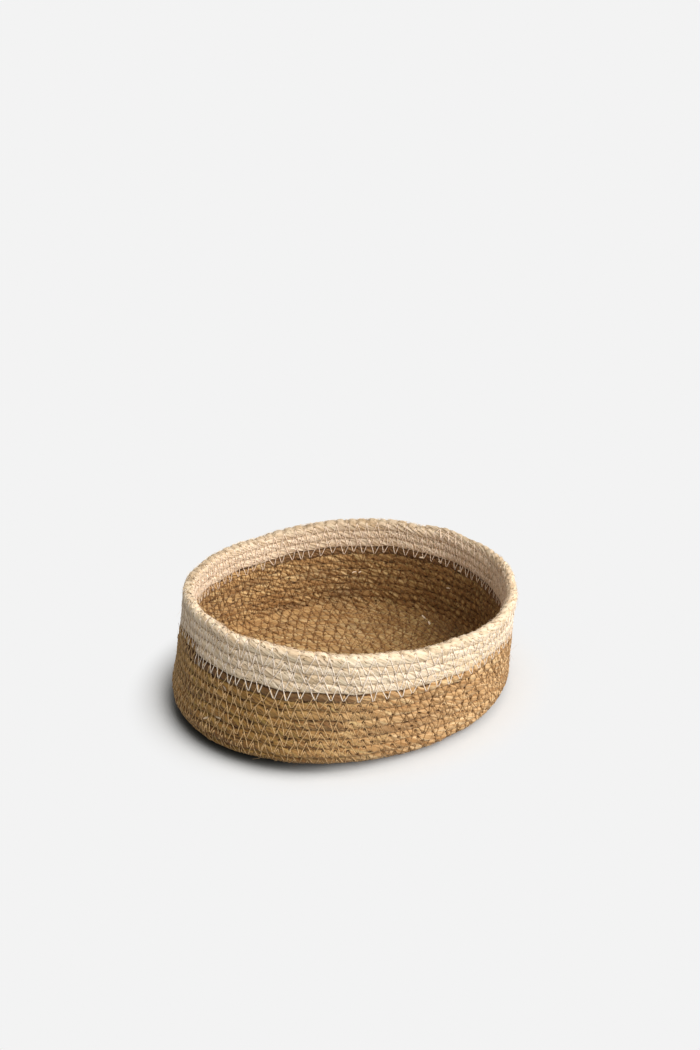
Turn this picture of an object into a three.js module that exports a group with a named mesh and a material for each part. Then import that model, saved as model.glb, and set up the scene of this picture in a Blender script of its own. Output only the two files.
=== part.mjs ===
// Oval rush basket, wound from rope and sewn together on a zigzag machine.
//
// One natural rush rope is wound flat into an oval base, turns up round the edge and climbs as
// the wall. A paler rope goes on from its end and makes the rim. Each course is sewn to the
// course below by two threads, the needle thread outside and the bobbin thread inside. They are
// tan on the natural rope, where only the upright courses show them here, and white on the rim.
//
// Millimetres, +Z up, +X along the basket. The basket stands on z = 0.
// The rope follows a skin. A point of the skin is given by `turn`, whose fraction is the share of
// the way round from the +X end towards +Y, and by `rise`, the distance from the middle line of
// the base along the skin. The rope climbs one pitch of rise in each turn.

import * as THREE from "three";

// Plan of the skin
const CORE_HALF_LENGTH = 26; // half the straight line that the base is wound round
const FLOOR_HALF_WIDTH = 84; // from that line to where the base starts to turn up
const BASE_SHIFT = -6.2; // the middle of the base along X, seen from the middle of the rim
const WALL_DRAW_IN = 4.5; // how far the wall leans in, from the turn to the rim
const RIM_EGG = 1.7; // the rim is a little pointed at +X and flatter beside it

// Height of the skin
const TURN_RADIUS = 10.6; // where the base turns into the wall
const WALL_RISE = 72.45; // from the top of the turn to the middle of the last course
const END_TILT = 7.4; // the -X end is this much higher than the mean
const RIM_TWIST = 4.6; // two opposite corners are this much higher than the mean
const RIM_SAG = 1.6; // three low places round the rim

// Rope
const PITCH = 6.88; // from one course to the next
const COURSE_GAP = 0.6; // left between two courses
const ROPE_THICKNESS = 7.4; // through the skin
const EYE_OFFSET = 0.2; // half of the small eye in the middle of the base
const RIM_COURSES = 3.58; // turns of the paler rope
const JOIN_GAP = 0.3; // between the ends of two lengths of rope
const TAPER_LENGTH = 75; // the end of the rim's rope gets thinner over this length
const TAPER_SHARE = 0.35; // what is left of its thickness there

// Thread
const THREAD_RADIUS = 0.4;
const THREAD_CLEARANCE = 0.3; // between a thread and the rope that it lies on
const STITCH_REACH = 5.5; // each way from the groove between two courses
const BARE_COURSES = 1; // courses above the turn that are left without stitches here

// Steps of the tubes
const STEPS = 24; // steps of rope in each turn
const START_STEP = 3; // where the rope starts on the base's middle line
const LEGS = 5; // legs of the zigzag on each step of rope
const LEAST_LEG = 0.1; // a last leg with less than this share of a leg is joined to the one before
const GATHER = 0.5; // how far the steps gather at the tight ends of the first turns
const FINE_STEPS = 360; // used to find the places of the steps

const FULL_TURN = 2 * Math.PI;
const HALF_THICKNESS = ROPE_THICKNESS / 2;
const FLOOR_CUT = ROPE_THICKNESS / 10; // how deep the rope is pressed flat where it stands
const WALL_START = FLOOR_HALF_WIDTH + (TURN_RADIUS * Math.PI) / 2;
const BASE_STEPS = stepAtRise(FLOOR_HALF_WIDTH);
const END_STEP = stepAtRise(WALL_START + WALL_RISE);
const RIM_STEP = END_STEP - Math.round(RIM_COURSES * STEPS);

function stepAtRise(rise) {
  return Math.floor(((rise - EYE_OFFSET) / PITCH) * STEPS);
}

// Half-width of the plan and height above the floor, on the mean wall. `share` is the share of
// the wall's height.
function profile(rise) {
  const angle = Math.min(Math.max(rise - FLOOR_HALF_WIDTH, 0) / TURN_RADIUS, Math.PI / 2);
  const flat = Math.min(rise, FLOOR_HALF_WIDTH);
  const climb = Math.max(rise - WALL_START, 0);
  const share = climb / WALL_RISE;
  return {
    size: flat + TURN_RADIUS * Math.sin(angle) - WALL_DRAW_IN * share * (2 - share),
    height: HALF_THICKNESS - FLOOR_CUT + TURN_RADIUS * (1 - Math.cos(angle)) + climb,
    share,
  };
}

// How far the oval of a given half-width is a true ellipse. Near the middle of the base it is
// two round ends on a straight line, so that the first courses lie an even pitch apart.
function roundness(size) {
  return Math.min(size / FLOOR_HALF_WIDTH, 1);
}

// A point of the oval of a given half-width. `bend` runs once round it.
function oval(size, bend) {
  const across = Math.max(size * roundness(size), 0.5);
  const along = CORE_HALF_LENGTH + size * roundness(size);
  const grow = size * (1 - roundness(size));
  const length = Math.hypot(across * Math.cos(bend), along * Math.sin(bend));
  return new THREE.Vector2(
    along * Math.cos(bend) + (grow * across * Math.cos(bend)) / length,
    across * Math.sin(bend) + (grow * along * Math.sin(bend)) / length,
  );
}

// The share of the way round, at each of many bends. It goes by length, and near the middle of
// the base partly by the change of heading.
function makeShares(size) {
  const lengths = [0];
  const headings = [0];
  const gather = GATHER * (1 - roundness(size));
  let last = oval(size, 0);
  let lastStep = new THREE.Vector2(0, 1);
  for (let i = 1; i <= FINE_STEPS; i += 1) {
    const point = oval(size, (FULL_TURN * i) / FINE_STEPS);
    const step = point.clone().sub(last);
    const change = Math.abs(Math.atan2(lastStep.cross(step), lastStep.dot(step)));
    lengths.push(lengths[i - 1] + step.length());
    headings.push(headings[i - 1] + change);
    last = point;
    lastStep = step;
  }
  return lengths.map((length, i) => {
    const byLength = length / lengths[FINE_STEPS];
    const byHeading = headings[i] / headings[FINE_STEPS];
    return byLength + gather * (byHeading - byLength);
  });
}

// Where on the oval a share of the way round lies.
const knownShares = new Map();
function bendAt(turn, size) {
  if (!knownShares.has(size)) knownShares.set(size, makeShares(size));
  const shares = knownShares.get(size);
  const share = turn - Math.floor(turn);
  let i = 1;
  while (i < FINE_STEPS && shares[i] < share) i += 1;
  const part = (share - shares[i - 1]) / (shares[i] - shares[i - 1]);
  return (FULL_TURN * (i - 1 + part)) / FINE_STEPS;
}

// How much higher than the mean the rim is.
function rimLift(angle) {
  const tilt = -END_TILT * Math.cos(angle);
  return tilt + RIM_TWIST * Math.sin(2 * angle) - RIM_SAG * Math.cos(3 * angle);
}

// A point of the skin, at a bend of the oval.
function skin(bend, rise) {
  const { size, height, share } = profile(rise);
  const point = oval(size, bend);
  const angle = point.angle();
  point.multiplyScalar(1 + (RIM_EGG * share * Math.cos(3 * angle)) / point.length());
  const shift = BASE_SHIFT * (1 - share);
  return new THREE.Vector3(point.x + shift, point.y, height + rimLift(angle) * share);
}

// The rope's middle at a step and the directions of its section. `up` runs along the skin to the
// next course. `out` runs through the skin, out of the wall and down from the base.
const DELTA = 0.02;
function makeStation(step) {
  const turn = step / STEPS;
  const rise = EYE_OFFSET + PITCH * turn;
  const bend = bendAt(turn, profile(rise).size);
  const climbPerBend = PITCH / FULL_TURN;
  const middle = skin(bend, rise);
  const ahead = skin(bend + DELTA, rise + DELTA * climbPerBend);
  const along = ahead.sub(skin(bend - DELTA, rise - DELTA * climbPerBend)).normalize();
  const climb = middle.clone().sub(skin(bend, rise - DELTA)).divideScalar(DELTA);
  const out = new THREE.Vector3().crossVectors(along, climb).normalize();
  const up = new THREE.Vector3().crossVectors(out, along);
  return { middle, out, up };
}

const stations = [];
for (let step = 0; step <= END_STEP; step += 1) {
  stations.push(makeStation(step));
}

// The rope is as wide as the courses beside it let it be.
const NEAR_STEPS = 3;
function distanceToCourse(step, other) {
  let least = Infinity;
  const spot = new THREE.Vector3();
  for (let i = Math.max(other - NEAR_STEPS, 0); i < Math.min(other + NEAR_STEPS, END_STEP); i += 1) {
    const line = new THREE.Line3(stations[i].middle, stations[i + 1].middle);
    line.closestPointToPoint(stations[step].middle, true, spot);
    least = Math.min(least, spot.distanceTo(stations[step].middle));
  }
  return least;
}
stations.forEach((station, step) => {
  const room = Math.min(distanceToCourse(step, step - STEPS), distanceToCourse(step, step + STEPS));
  station.halfWidth = (room - COURSE_GAP) / 2;
});

// A point beside the rope's middle. Between two steps the rope is straight.
function beside(step, alongSkin, throughSkin) {
  const first = Math.min(Math.floor(step), END_STEP - 1);
  const ends = [first, first + 1].map((i) => {
    const { middle, out, up } = stations[i];
    return middle.clone().addScaledVector(up, alongSkin).addScaledVector(out, throughSkin);
  });
  return ends[0].lerp(ends[1], step - first);
}

function halfWidthAt(step) {
  const first = Math.min(Math.floor(step), END_STEP - 1);
  const widths = [stations[first].halfWidth, stations[first + 1].halfWidth];
  return THREE.MathUtils.lerp(widths[0], widths[1], step - first);
}

// How long one step of rope is.
function stepLength(step) {
  return beside(step, 0, 0).distanceTo(beside(step + 1, 0, 0));
}

// The share of its full size that the rope has, which falls at the end of the rim.
function ropeScale(step) {
  const left = (END_STEP - step) * stepLength(END_STEP - 1);
  return THREE.MathUtils.lerp(TAPER_SHARE, 1, Math.min(left / TAPER_LENGTH, 1));
}

// The six corners of the rope's section. A thinner end rests on the course below.
function ropeRing(step) {
  const scale = ropeScale(step);
  const half = halfWidthAt(step);
  const width = half * scale;
  const depth = HALF_THICKNESS * scale;
  const drop = width - half;
  const corners = [
    [width, 0],
    [width / 2, depth],
    [-width / 2, depth],
    [-width, 0],
    [-width / 2, -depth],
    [width / 2, -depth],
  ];
  const ring = corners.map(([alongSkin, throughSkin]) => {
    return beside(step, drop + alongSkin, throughSkin);
  });
  cutAtFloor(ring[1], ring[0]);
  cutAtFloor(ring[2], ring[3]);
  return ring;
}

// A lower corner of the rope that would be under the floor goes up along the side of the
// section, towards the next corner, until it is level with the floor.
function cutAtFloor(lower, next) {
  if (lower.z < 0) lower.lerp(next, lower.z / (lower.z - next.z)).setZ(0);
}

// Closed tube through rings of points, with flat ends.
function tubeGeometry(rings) {
  const sides = rings[0].length;
  const positions = rings.flat().flatMap((point) => point.toArray());
  const faces = [];
  for (let ring = 0; ring + 1 < rings.length; ring += 1) {
    for (let side = 0; side < sides; side += 1) {
      const a = ring * sides + side;
      const b = ring * sides + ((side + 1) % sides);
      faces.push(a, b, a + sides, b, b + sides, a + sides);
    }
  }
  const last = (rings.length - 1) * sides;
  for (let side = 1; side + 1 < sides; side += 1) {
    faces.push(0, side + 1, side, last, last + side, last + side + 1);
  }
  const geometry = new THREE.BufferGeometry();
  geometry.setAttribute("position", new THREE.Float32BufferAttribute(positions, 3));
  geometry.setIndex(faces);
  geometry.computeVertexNormals();
  return geometry;
}

// A length of rope between two steps.
function rope(from, to) {
  const rings = [ropeRing(from)];
  for (let step = Math.floor(from) + 1; step < to; step += 1) {
    rings.push(ropeRing(step));
  }
  rings.push(ropeRing(to));
  return tubeGeometry(rings);
}

// The step that lies one join gap further along the rope.
function afterJoin(step) {
  return step + JOIN_GAP / stepLength(step);
}

// The bend that ends a given leg of a zigzag thread. It lies low on the course at its step, or
// high on the course above. `face` is 1 on the outside and -1 on the inside.
function threadBend(from, leg, face) {
  const layer = face * (HALF_THICKNESS + THREAD_CLEARANCE + THREAD_RADIUS / 2);
  const step = from + leg / LEGS;
  const high = leg % 2 === 1;
  const offset = (high ? 1 : -1) * (STITCH_REACH - PITCH / 2);
  return beside(high ? step + STEPS : step, offset, layer);
}

// A zigzag thread over the groove above the courses from one step to another. Its last leg is
// as long as what is left.
function zigzag(from, to, face) {
  const path = [];
  const legs = Math.ceil((to - from) * LEGS - LEAST_LEG);
  for (let leg = 0; leg < legs; leg += 1) {
    path.push({ step: from + leg / LEGS, point: threadBend(from, leg, face) });
  }
  const part = (to - from) * LEGS - (legs - 1);
  const end = threadBend(from, legs - 1, face).lerp(threadBend(from, legs, face), part);
  path.push({ step: to, point: end });
  return tubeGeometry(path.map((_, i) => threadRing(path, i, face)));
}

// The three corners of a thread, mitred where it turns back.
function threadRing(path, index, face) {
  const { step, point } = path[index];
  const { out } = stations[Math.min(Math.round(step), END_STEP)];
  const before = path[Math.max(index - 1, 0)].point;
  const after = path[Math.min(index + 1, path.length - 1)].point;
  const incoming = (index ? point.clone().sub(before) : after.clone().sub(point)).normalize();
  const outgoing = (after === point ? incoming.clone() : after.clone().sub(point)).normalize();
  const heading = incoming.clone().add(outgoing).normalize();
  const outwards = out.clone().multiplyScalar(face);
  const side = new THREE.Vector3().crossVectors(outwards, heading).normalize();
  const mitre = 1 / side.dot(new THREE.Vector3().crossVectors(outwards, outgoing).normalize());
  return [0, 1, 2].map((corner) => {
    const angle = (FULL_TURN * corner) / 3;
    return point
      .clone()
      .addScaledVector(outwards, THREAD_RADIUS * Math.cos(angle))
      .addScaledVector(side, -THREAD_RADIUS * Math.sin(angle) * mitre);
  });
}

// The least gap between the rope and its next course, from points along its corners.
const CHECK_POINTS = 4;
function leastRopeGap() {
  let least = Infinity;
  const spot = new THREE.Vector3();
  for (let step = START_STEP; step + STEPS < END_STEP; step += 1 / CHECK_POINTS) {
    const whole = Math.floor(step);
    const corners = ropeRing(step);
    for (let next = whole + STEPS - 2; next <= Math.min(whole + STEPS + 2, END_STEP - 1); next += 1) {
      const facing = [ropeRing(next), ropeRing(next + 1)];
      for (let i = 0; i < corners.length; i += 1) {
        for (const corner of corners) {
          new THREE.Line3(facing[0][i], facing[1][i]).closestPointToPoint(corner, true, spot);
          least = Math.min(least, spot.distanceTo(corner));
        }
      }
    }
  }
  return least;
}

// The least gap between the rows of stitches one above the other, from points along their legs.
function leastRowGap(from, to, face) {
  let least = Infinity;
  const spot = new THREE.Vector3();
  for (let leg = 2; leg < (to - from - STEPS) * LEGS; leg += 1) {
    for (let near = leg - 2; near <= leg + 2; near += 1) {
      const above = near + STEPS * LEGS;
      const line = new THREE.Line3(threadBend(from, above, face), threadBend(from, above + 1, face));
      for (let part = 0; part < 1; part += 1 / CHECK_POINTS) {
        const point = threadBend(from, leg, face).lerp(threadBend(from, leg + 1, face), part);
        line.closestPointToPoint(point, true, spot);
        least = Math.min(least, spot.distanceTo(point));
      }
    }
  }
  return least - 2 * THREAD_RADIUS;
}

const naturalRush = new THREE.MeshStandardMaterial({ color: 0xc49a63, roughness: 0.85, metalness: 0 });
const paleRush = new THREE.MeshStandardMaterial({ color: 0xe3d7bf, roughness: 0.85, metalness: 0 });
const tanThread = new THREE.MeshStandardMaterial({ color: 0xb8925f, roughness: 0.7, metalness: 0 });
const whiteThread = new THREE.MeshStandardMaterial({ color: 0xefe9de, roughness: 0.7, metalness: 0 });

const basket = new THREE.Group();
function addPiece(name, geometry, material) {
  const mesh = new THREE.Mesh(geometry, material);
  mesh.name = name;
  basket.add(mesh);
}

// The white seam starts below the start of the paler rope and ends where that rope gets thinner.
// The tan seam starts an even number of legs before it, so that all rows lie in step, and ends
// one leg before it.
const SEAM_START = RIM_STEP - STEPS;
const SEAM_END = END_STEP - STEPS - TAPER_LENGTH / stepLength(END_STEP - 1);
const BARE_STEP = stepAtRise(WALL_START) + BARE_COURSES * STEPS;
const TAN_LEGS = 2 * Math.floor(((SEAM_START - BARE_STEP) * LEGS) / 2);
const TAN_START = SEAM_START - TAN_LEGS / LEGS;
const TAN_END = SEAM_START - 1 / LEGS;

addPiece("base_coil", rope(START_STEP, BASE_STEPS), naturalRush);
addPiece("wall_coil", rope(afterJoin(BASE_STEPS), RIM_STEP), naturalRush);
addPiece("rim_coil", rope(afterJoin(RIM_STEP), END_STEP), paleRush);
addPiece("wall_needle_thread", zigzag(TAN_START, TAN_END, 1), tanThread);
addPiece("wall_bobbin_thread", zigzag(TAN_START, TAN_END, -1), tanThread);
addPiece("rim_needle_thread", zigzag(SEAM_START, SEAM_END, 1), whiteThread);
addPiece("rim_bobbin_thread", zigzag(SEAM_START, SEAM_END, -1), whiteThread);

// Centre the basket over the origin.
const box = new THREE.Box3().setFromObject(basket);
const centre = box.getCenter(new THREE.Vector3());
for (const mesh of basket.children) {
  mesh.position.set(-centre.x, -centre.y, 0);
}

console.log("turns of rope", (END_STEP - START_STEP) / STEPS);
console.log("least gap between courses, mm", leastRopeGap().toFixed(2));
const rowGaps = [1, -1].map((face) => leastRowGap(TAN_START, SEAM_END, face));
console.log("least gap between rows of stitches, mm", Math.min(...rowGaps).toFixed(2));
console.log("size, mm", box.getSize(new THREE.Vector3()).toArray().map((v) => v.toFixed(1)).join(" x "));
console.log("centre moved from", centre.toArray().map((v) => v.toFixed(2)).join(", "));

export default basket;
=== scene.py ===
# %% [markdown]
# An oval basket of rush rope. A rope of twisted rush leaves is wound flat into a base, turns up
# and climbs as the wall, and each course is sewn to the one below by a zigzag machine. The rim is
# wound from a paler rope and sewn with white thread.
#
# The lesson builds the basket as its maker does: first the line that the rope follows, then the
# stitches, then a rope that swells between its stitches, then the threads, and the loose fibres
# last. Everything is in metres, in the frame of the CAD model, which is loaded first.

import math

import bpy
import numpy as np
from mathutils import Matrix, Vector


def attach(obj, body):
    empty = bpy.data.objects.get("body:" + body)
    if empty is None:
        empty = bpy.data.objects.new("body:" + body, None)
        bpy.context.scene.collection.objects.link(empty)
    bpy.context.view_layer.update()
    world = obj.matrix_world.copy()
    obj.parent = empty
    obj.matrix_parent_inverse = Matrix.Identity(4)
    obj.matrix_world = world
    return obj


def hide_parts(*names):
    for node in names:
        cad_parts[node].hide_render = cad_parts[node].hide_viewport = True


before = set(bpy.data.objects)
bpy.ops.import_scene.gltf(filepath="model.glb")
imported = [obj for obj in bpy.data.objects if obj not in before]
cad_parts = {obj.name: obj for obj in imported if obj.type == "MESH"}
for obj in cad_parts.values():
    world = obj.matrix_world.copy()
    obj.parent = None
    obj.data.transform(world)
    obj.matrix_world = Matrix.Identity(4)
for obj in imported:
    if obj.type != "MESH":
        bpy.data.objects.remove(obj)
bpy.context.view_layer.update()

# %% [markdown]
# The basket's skin is the surface that the middle of the rope follows. The CAD model has the same
# skin, so its sizes are repeated here, and every piece made on it lies where the CAD piece lies.
# `rise` is the distance from the middle of the base along the skin, up to the rim.

# %% Sizes of the skin
CORE_HALF_LENGTH = 0.026  # half the straight line that the base is wound round
FLOOR_HALF_WIDTH = 0.084  # from that line to where the base turns up
BASE_SHIFT = -0.0062
WALL_DRAW_IN = 0.0045
RIM_EGG = 0.0017
TURN_RADIUS = 0.0106
WALL_RISE = 0.07245
END_TILT = 0.0074
RIM_TWIST = 0.0046
RIM_SAG = 0.0016
PITCH = 0.00688  # from one course to the next
ROPE_THICKNESS = 0.0074
EYE_OFFSET = 0.0002
GATHER = 0.5
STEPS = 24  # steps of the CAD rope in each turn
START_STEP = 3
RIM_COURSES = 3.58
CENTRING = (0.00403, 0.00003)  # the CAD model is moved by this to stand over the origin
LUMP_HEIGHT = 0.0005
LUMP_WAVES = ((9, 70, 0.0), (14, -95, 1.0), (23, 150, 0.0))  # round the wall, up it, and shift
COURSE_WAVE = 0.0005
COURSE_WAVES = ((7, 55, 0.0), (11, -80, 2.0), (17, 0, 2.7))
LEAST_HALF_WIDTH = 0.0005  # of the oval at the middle of the base

HALF_THICKNESS = ROPE_THICKNESS / 2
FLOOR_CUT = ROPE_THICKNESS / 10
WALL_START = FLOOR_HALF_WIDTH + TURN_RADIUS * math.pi / 2


def step_at_rise(rise):
    return math.floor((rise - EYE_OFFSET) / PITCH * STEPS)


START = START_STEP / STEPS  # these four are in turns of rope
BASE_END = step_at_rise(FLOOR_HALF_WIDTH) / STEPS
END = step_at_rise(WALL_START + WALL_RISE) / STEPS
RIM_START = END - round(RIM_COURSES * STEPS) / STEPS
print("turns of rope: base to", round(BASE_END, 3), "rim from", round(RIM_START, 3), "to", END)


# %% The skin as a function
def profile(rise):
    """Half-width of the plan, height and share of the wall's height."""
    angle = np.clip((rise - FLOOR_HALF_WIDTH) / TURN_RADIUS, 0, math.pi / 2)
    climb = np.maximum(rise - WALL_START, 0)
    share = climb / WALL_RISE
    size = np.minimum(rise, FLOOR_HALF_WIDTH) + TURN_RADIUS * np.sin(angle)
    size = size - WALL_DRAW_IN * share * (2 - share)
    height = HALF_THICKNESS - FLOOR_CUT + TURN_RADIUS * (1 - np.cos(angle)) + climb
    return size, height, share


def oval(size, bend):
    roundness = np.minimum(size / FLOOR_HALF_WIDTH, 1)
    across = np.maximum(size * roundness, LEAST_HALF_WIDTH)
    along = CORE_HALF_LENGTH + size * roundness
    grow = size * (1 - roundness)
    length = np.hypot(across * np.cos(bend), along * np.sin(bend))
    x = along * np.cos(bend) + grow * across * np.cos(bend) / length
    y = across * np.sin(bend) + grow * along * np.sin(bend) / length
    return x, y


def sum_of_waves(table, angle, rise):
    return sum(np.sin(count * angle + climb * rise + shift) for count, climb, shift in table)


def lumps(angle, rise):
    """Hand-fed rope leaves the wall a little uneven."""
    up = np.maximum(rise - FLOOR_HALF_WIDTH, 0)
    wall = np.clip(up / 0.02, 0, 1)
    return LUMP_HEIGHT * wall * sum_of_waves(LUMP_WAVES, angle, up) / 2


def skin(bend, rise):
    size, height, share = profile(rise)
    x, y = oval(size, bend)
    angle = np.arctan2(y, x)
    egg = 1 + (RIM_EGG * share * np.cos(3 * angle) + lumps(angle, rise)) / np.hypot(x, y)
    lift = -END_TILT * np.cos(angle) + RIM_TWIST * np.sin(2 * angle) - RIM_SAG * np.cos(3 * angle)
    x = x * egg + BASE_SHIFT * (1 - share) + CENTRING[0]
    return np.stack([x, y * egg + CENTRING[1], height + lift * share], -1)


ends = [skin(np.array(bend), WALL_START + WALL_RISE) for bend in (0, math.pi)]
print("height of the rim at its two ends, mm", [round(1000 * place[2], 1) for place in ends])

# %% [markdown]
# The rope climbs one pitch in each turn. A place on it is a number of turns, whose fraction is
# the share of the way round. Shares go by length, so a table turns them into bends of the oval.

# %% From turns to places on the skin
BENDS = np.linspace(0, 2 * math.pi, 361)
TABLE_SIZES = np.linspace(0.0002, 0.1, 240)


def share_table():
    rows = []
    for size in TABLE_SIZES:
        x, y = oval(np.full(BENDS.shape, size), BENDS)
        dx, dy = np.diff(x), np.diff(y)
        heading = np.unwrap(np.concatenate([[math.pi / 2], np.arctan2(dy, dx)]))
        by_length = np.concatenate([[0], np.cumsum(np.hypot(dx, dy))])
        by_heading = np.concatenate([[0], np.cumsum(np.abs(np.diff(heading)))])
        gather = GATHER * (1 - min(size / FLOOR_HALF_WIDTH, 1))
        by_length, by_heading = by_length / by_length[-1], by_heading / by_heading[-1]
        rows.append(by_length + gather * (by_heading - by_length))
    return rows


SHARES = share_table()


def bend_at(turn, size):
    share = turn % 1.0
    place = np.interp(size, TABLE_SIZES, np.arange(len(TABLE_SIZES)))
    row = np.minimum(place.astype(int), len(TABLE_SIZES) - 2)
    bend = np.empty(len(share))
    for k in np.unique(row):
        here = row == k
        low = np.interp(share[here], SHARES[k], BENDS)
        high = np.interp(share[here], SHARES[k + 1], BENDS)
        bend[here] = low + (high - low) * (place[here] - k)
    return bend


def unit(vectors):
    return vectors / np.linalg.norm(vectors, axis=-1, keepdims=True)


def on_skin(turn, beyond=0.0):
    """Place, outward direction and upward direction at a turn, moved along the skin."""
    rise = EYE_OFFSET + PITCH * turn + beyond
    bend = bend_at(turn, profile(rise)[0])
    wave = sum_of_waves(COURSE_WAVES, bend, rise)
    rise = rise + COURSE_WAVE * np.clip(rise / 0.06, 0, 1) * wave / 2
    delta, small_rise = 0.01, 0.00002
    climb_along = PITCH * delta / (2 * math.pi)
    ahead = skin(bend + delta, rise + climb_along)
    along = unit(ahead - skin(bend - delta, rise - climb_along))
    climb = skin(bend, rise) - skin(bend, rise - small_rise)
    out = unit(np.cross(along, climb))
    return skin(bend, rise), out, np.cross(out, along)


print("table of bends:", len(SHARES), "ovals with", len(BENDS), "bends each")

# %% [markdown]
# Two tables are made once, because everything below asks for them: how many metres of rope lie
# before each turn, and how much room each course has. Where the skin waves, neighbouring courses
# are not quite one pitch apart, and a rope that fills the room it finds leaves no gaps.

# %% Length along the rope
FINE_TURNS = np.arange(START, END + 1e-9, 1 / 384)
fine_places, _, _ = on_skin(FINE_TURNS)
fine_steps = np.linalg.norm(np.diff(fine_places, axis=0), axis=1)
FINE_LENGTHS = np.concatenate([[0], np.cumsum(fine_steps)])


def length_at(turn):
    return np.interp(turn, FINE_TURNS, FINE_LENGTHS)


def turn_at(length):
    return np.interp(length, FINE_LENGTHS, FINE_TURNS)


print("rope, metres", round(FINE_LENGTHS[-1], 2))


# %% Room between the courses
def room_table(side, per_turn=96, reach=10):
    """How far each course is from the next (side 1) or from the one before (side -1)."""
    turns = np.arange(START, END + 1e-9, 1 / per_turn)
    places, _, _ = on_skin(turns)
    count = len(turns)
    found = np.full(count, 1.06 * PITCH)
    for near in range(side * per_turn - reach, side * per_turn + reach):
        first = np.arange(count) + near
        real = np.nonzero((first >= 0) & (first + 1 < count))[0]
        a, b = places[first[real]], places[first[real] + 1]
        part = np.sum((places[real] - a) * (b - a), 1) / np.sum((b - a) ** 2, 1)
        spot = a + np.clip(part, 0, 1)[:, None] * (b - a)
        found[real] = np.minimum(found[real], np.linalg.norm(places[real] - spot, axis=1))
    return turns, found


ROOM_TURNS, ROOM_ABOVE = room_table(1)
_, ROOM_BELOW = room_table(-1)
least_room, most_room = [round(1000 * room, 2) for room in (ROOM_ABOVE.min(), ROOM_ABOVE.max())]
print("room between courses, mm", least_room, "to", most_room)

# %% [markdown]
# A zigzag machine swings its needle from one course to the next, and each swing leaves a straight
# leg of thread. No hand-held rope feeds evenly, so the stitches are a little uneven in length and
# reach, and shorter on the bends of the oval. They drift along the rope too, or the zigzags of
# neighbouring courses would line up in columns. Both faces of the wall have their own thread. The
# last seam reaches further up, so that it wraps over the top of the rim. The stitches come before
# the rope, because the rope is pressed in under them.

# %% Slowly changing random values
WANDERS = {  # what changes, over how many metres of rope, and its seed
    "stitches": (0.11, 31),
    "twist": (0.021, 4),
    "leaves": (0.034, 5),
    "wrinkles": (0.018, 9),
    "swell": (0.021, 3),
    "feed": (0.005, 13),
    "crown": (0.009, 41),
    "tone": (0.045, 17),
}


def wander(length, what, count=1):
    """Smooth random values along the rope, one column each, between -1 and 1."""
    spacing, seed = WANDERS[what]
    knots = int(FINE_LENGTHS[-1] / spacing) + 4
    values = np.random.default_rng(seed).uniform(-1, 1, (knots, count))
    place = length / spacing
    k = place.astype(int)
    part = (place - k)[:, None]
    part = part * part * (3 - 2 * part)
    return values[k] * (1 - part) + values[k + 1] * part


def ramp(values, low, high):
    """0 at low, 1 at high and a smooth climb between."""
    part = np.clip((values - low) / (high - low), 0, 1)
    return part * part * (3 - 2 * part)


print("what changes slowly along the rope:", ", ".join(WANDERS))

# %% Stitches
rng = np.random.default_rng(7)
HALF_STITCH = 0.0048
BEND_SHORTENING = 0.4  # how much shorter the stitches are on the bends
BACK_SHORTENING = 0.14  # and on the back of the wall
STITCH_DRIFT = 0.7  # keeps the rows of neighbouring courses from lining up
STITCH_UNEVEN, MOST_UNEVEN = 0.18, 0.36  # as shares of a leg
REACH_UNEVEN, MOST_REACH_UNEVEN = 0.0007, 0.0012
LAST_SEAM_TURN = END - 2.05
TOP_REACH = 0.0068  # on the last course, where the zigzag wraps over the rim
TOP_EXTRA = 0.0006  # how much further it reaches than other seams
TOP_DRIFT = 0.0004
fine_middles = (fine_places[1:] + fine_places[:-1]) / 2
bend_share = np.abs(fine_middles[:, 0]) / np.hypot(fine_middles[:, 0], fine_middles[:, 1])
leg_lengths = HALF_STITCH * (1 - BEND_SHORTENING * bend_share**4)
leg_lengths *= 1 - BACK_SHORTENING * ramp(fine_middles[:, 1], 0.0, 0.06)
FINE_COUNTS = np.concatenate([[0], np.cumsum(fine_steps / leg_lengths)])
SEAMS = {
    "natural": dict(ends=(START + 0.06, RIM_START - 1), reach=0.0055),
    "pale": dict(ends=(RIM_START - 1, END - 1.01), reach=0.0062),
}


def stitch_row(ends, reach):
    """Place along the rope and reach of each stitch, low on one course and high on the next."""
    first, last = np.interp(np.array(ends), FINE_TURNS, FINE_COUNTS)
    count = int(last - first)
    spots = np.linspace(first, last, count)
    spots[1:-1] += rng.normal(0, STITCH_UNEVEN, count - 2).clip(-MOST_UNEVEN, MOST_UNEVEN)
    rough_places = np.interp(spots, FINE_COUNTS, FINE_LENGTHS)
    spots[1:-1] += STITCH_DRIFT * wander(rough_places, "stitches")[1:-1, 0]
    places = np.interp(np.sort(spots), FINE_COUNTS, FINE_LENGTHS)
    uneven = rng.normal(0, REACH_UNEVEN, count).clip(-MOST_REACH_UNEVEN, MOST_REACH_UNEVEN)
    reaches = reach + uneven
    turns = turn_at(places)
    top = TOP_REACH + TOP_DRIFT * np.cos(2 * math.pi * (turns - RIM_START - 0.1))
    reaches = np.where(turns > LAST_SEAM_TURN, np.minimum(reaches + TOP_EXTRA, top), reaches)
    return places, np.where(np.arange(count) % 2, 1, -1) * reaches


STITCHES = {}
for face in (1, -1):
    for kind, seam in SEAMS.items():
        STITCHES[kind, face] = stitch_row(**seam)
print("stitches", sum(len(row[0]) for row in STITCHES.values()))

# %% [markdown]
# A thread under tension bridges the groove, presses into the rope's crest and dives into its
# hole. Where the next seam crosses it on the same course, the later thread lies on top.
# The rope can't swell past its threads, so the same heights hold the rope down.

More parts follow.
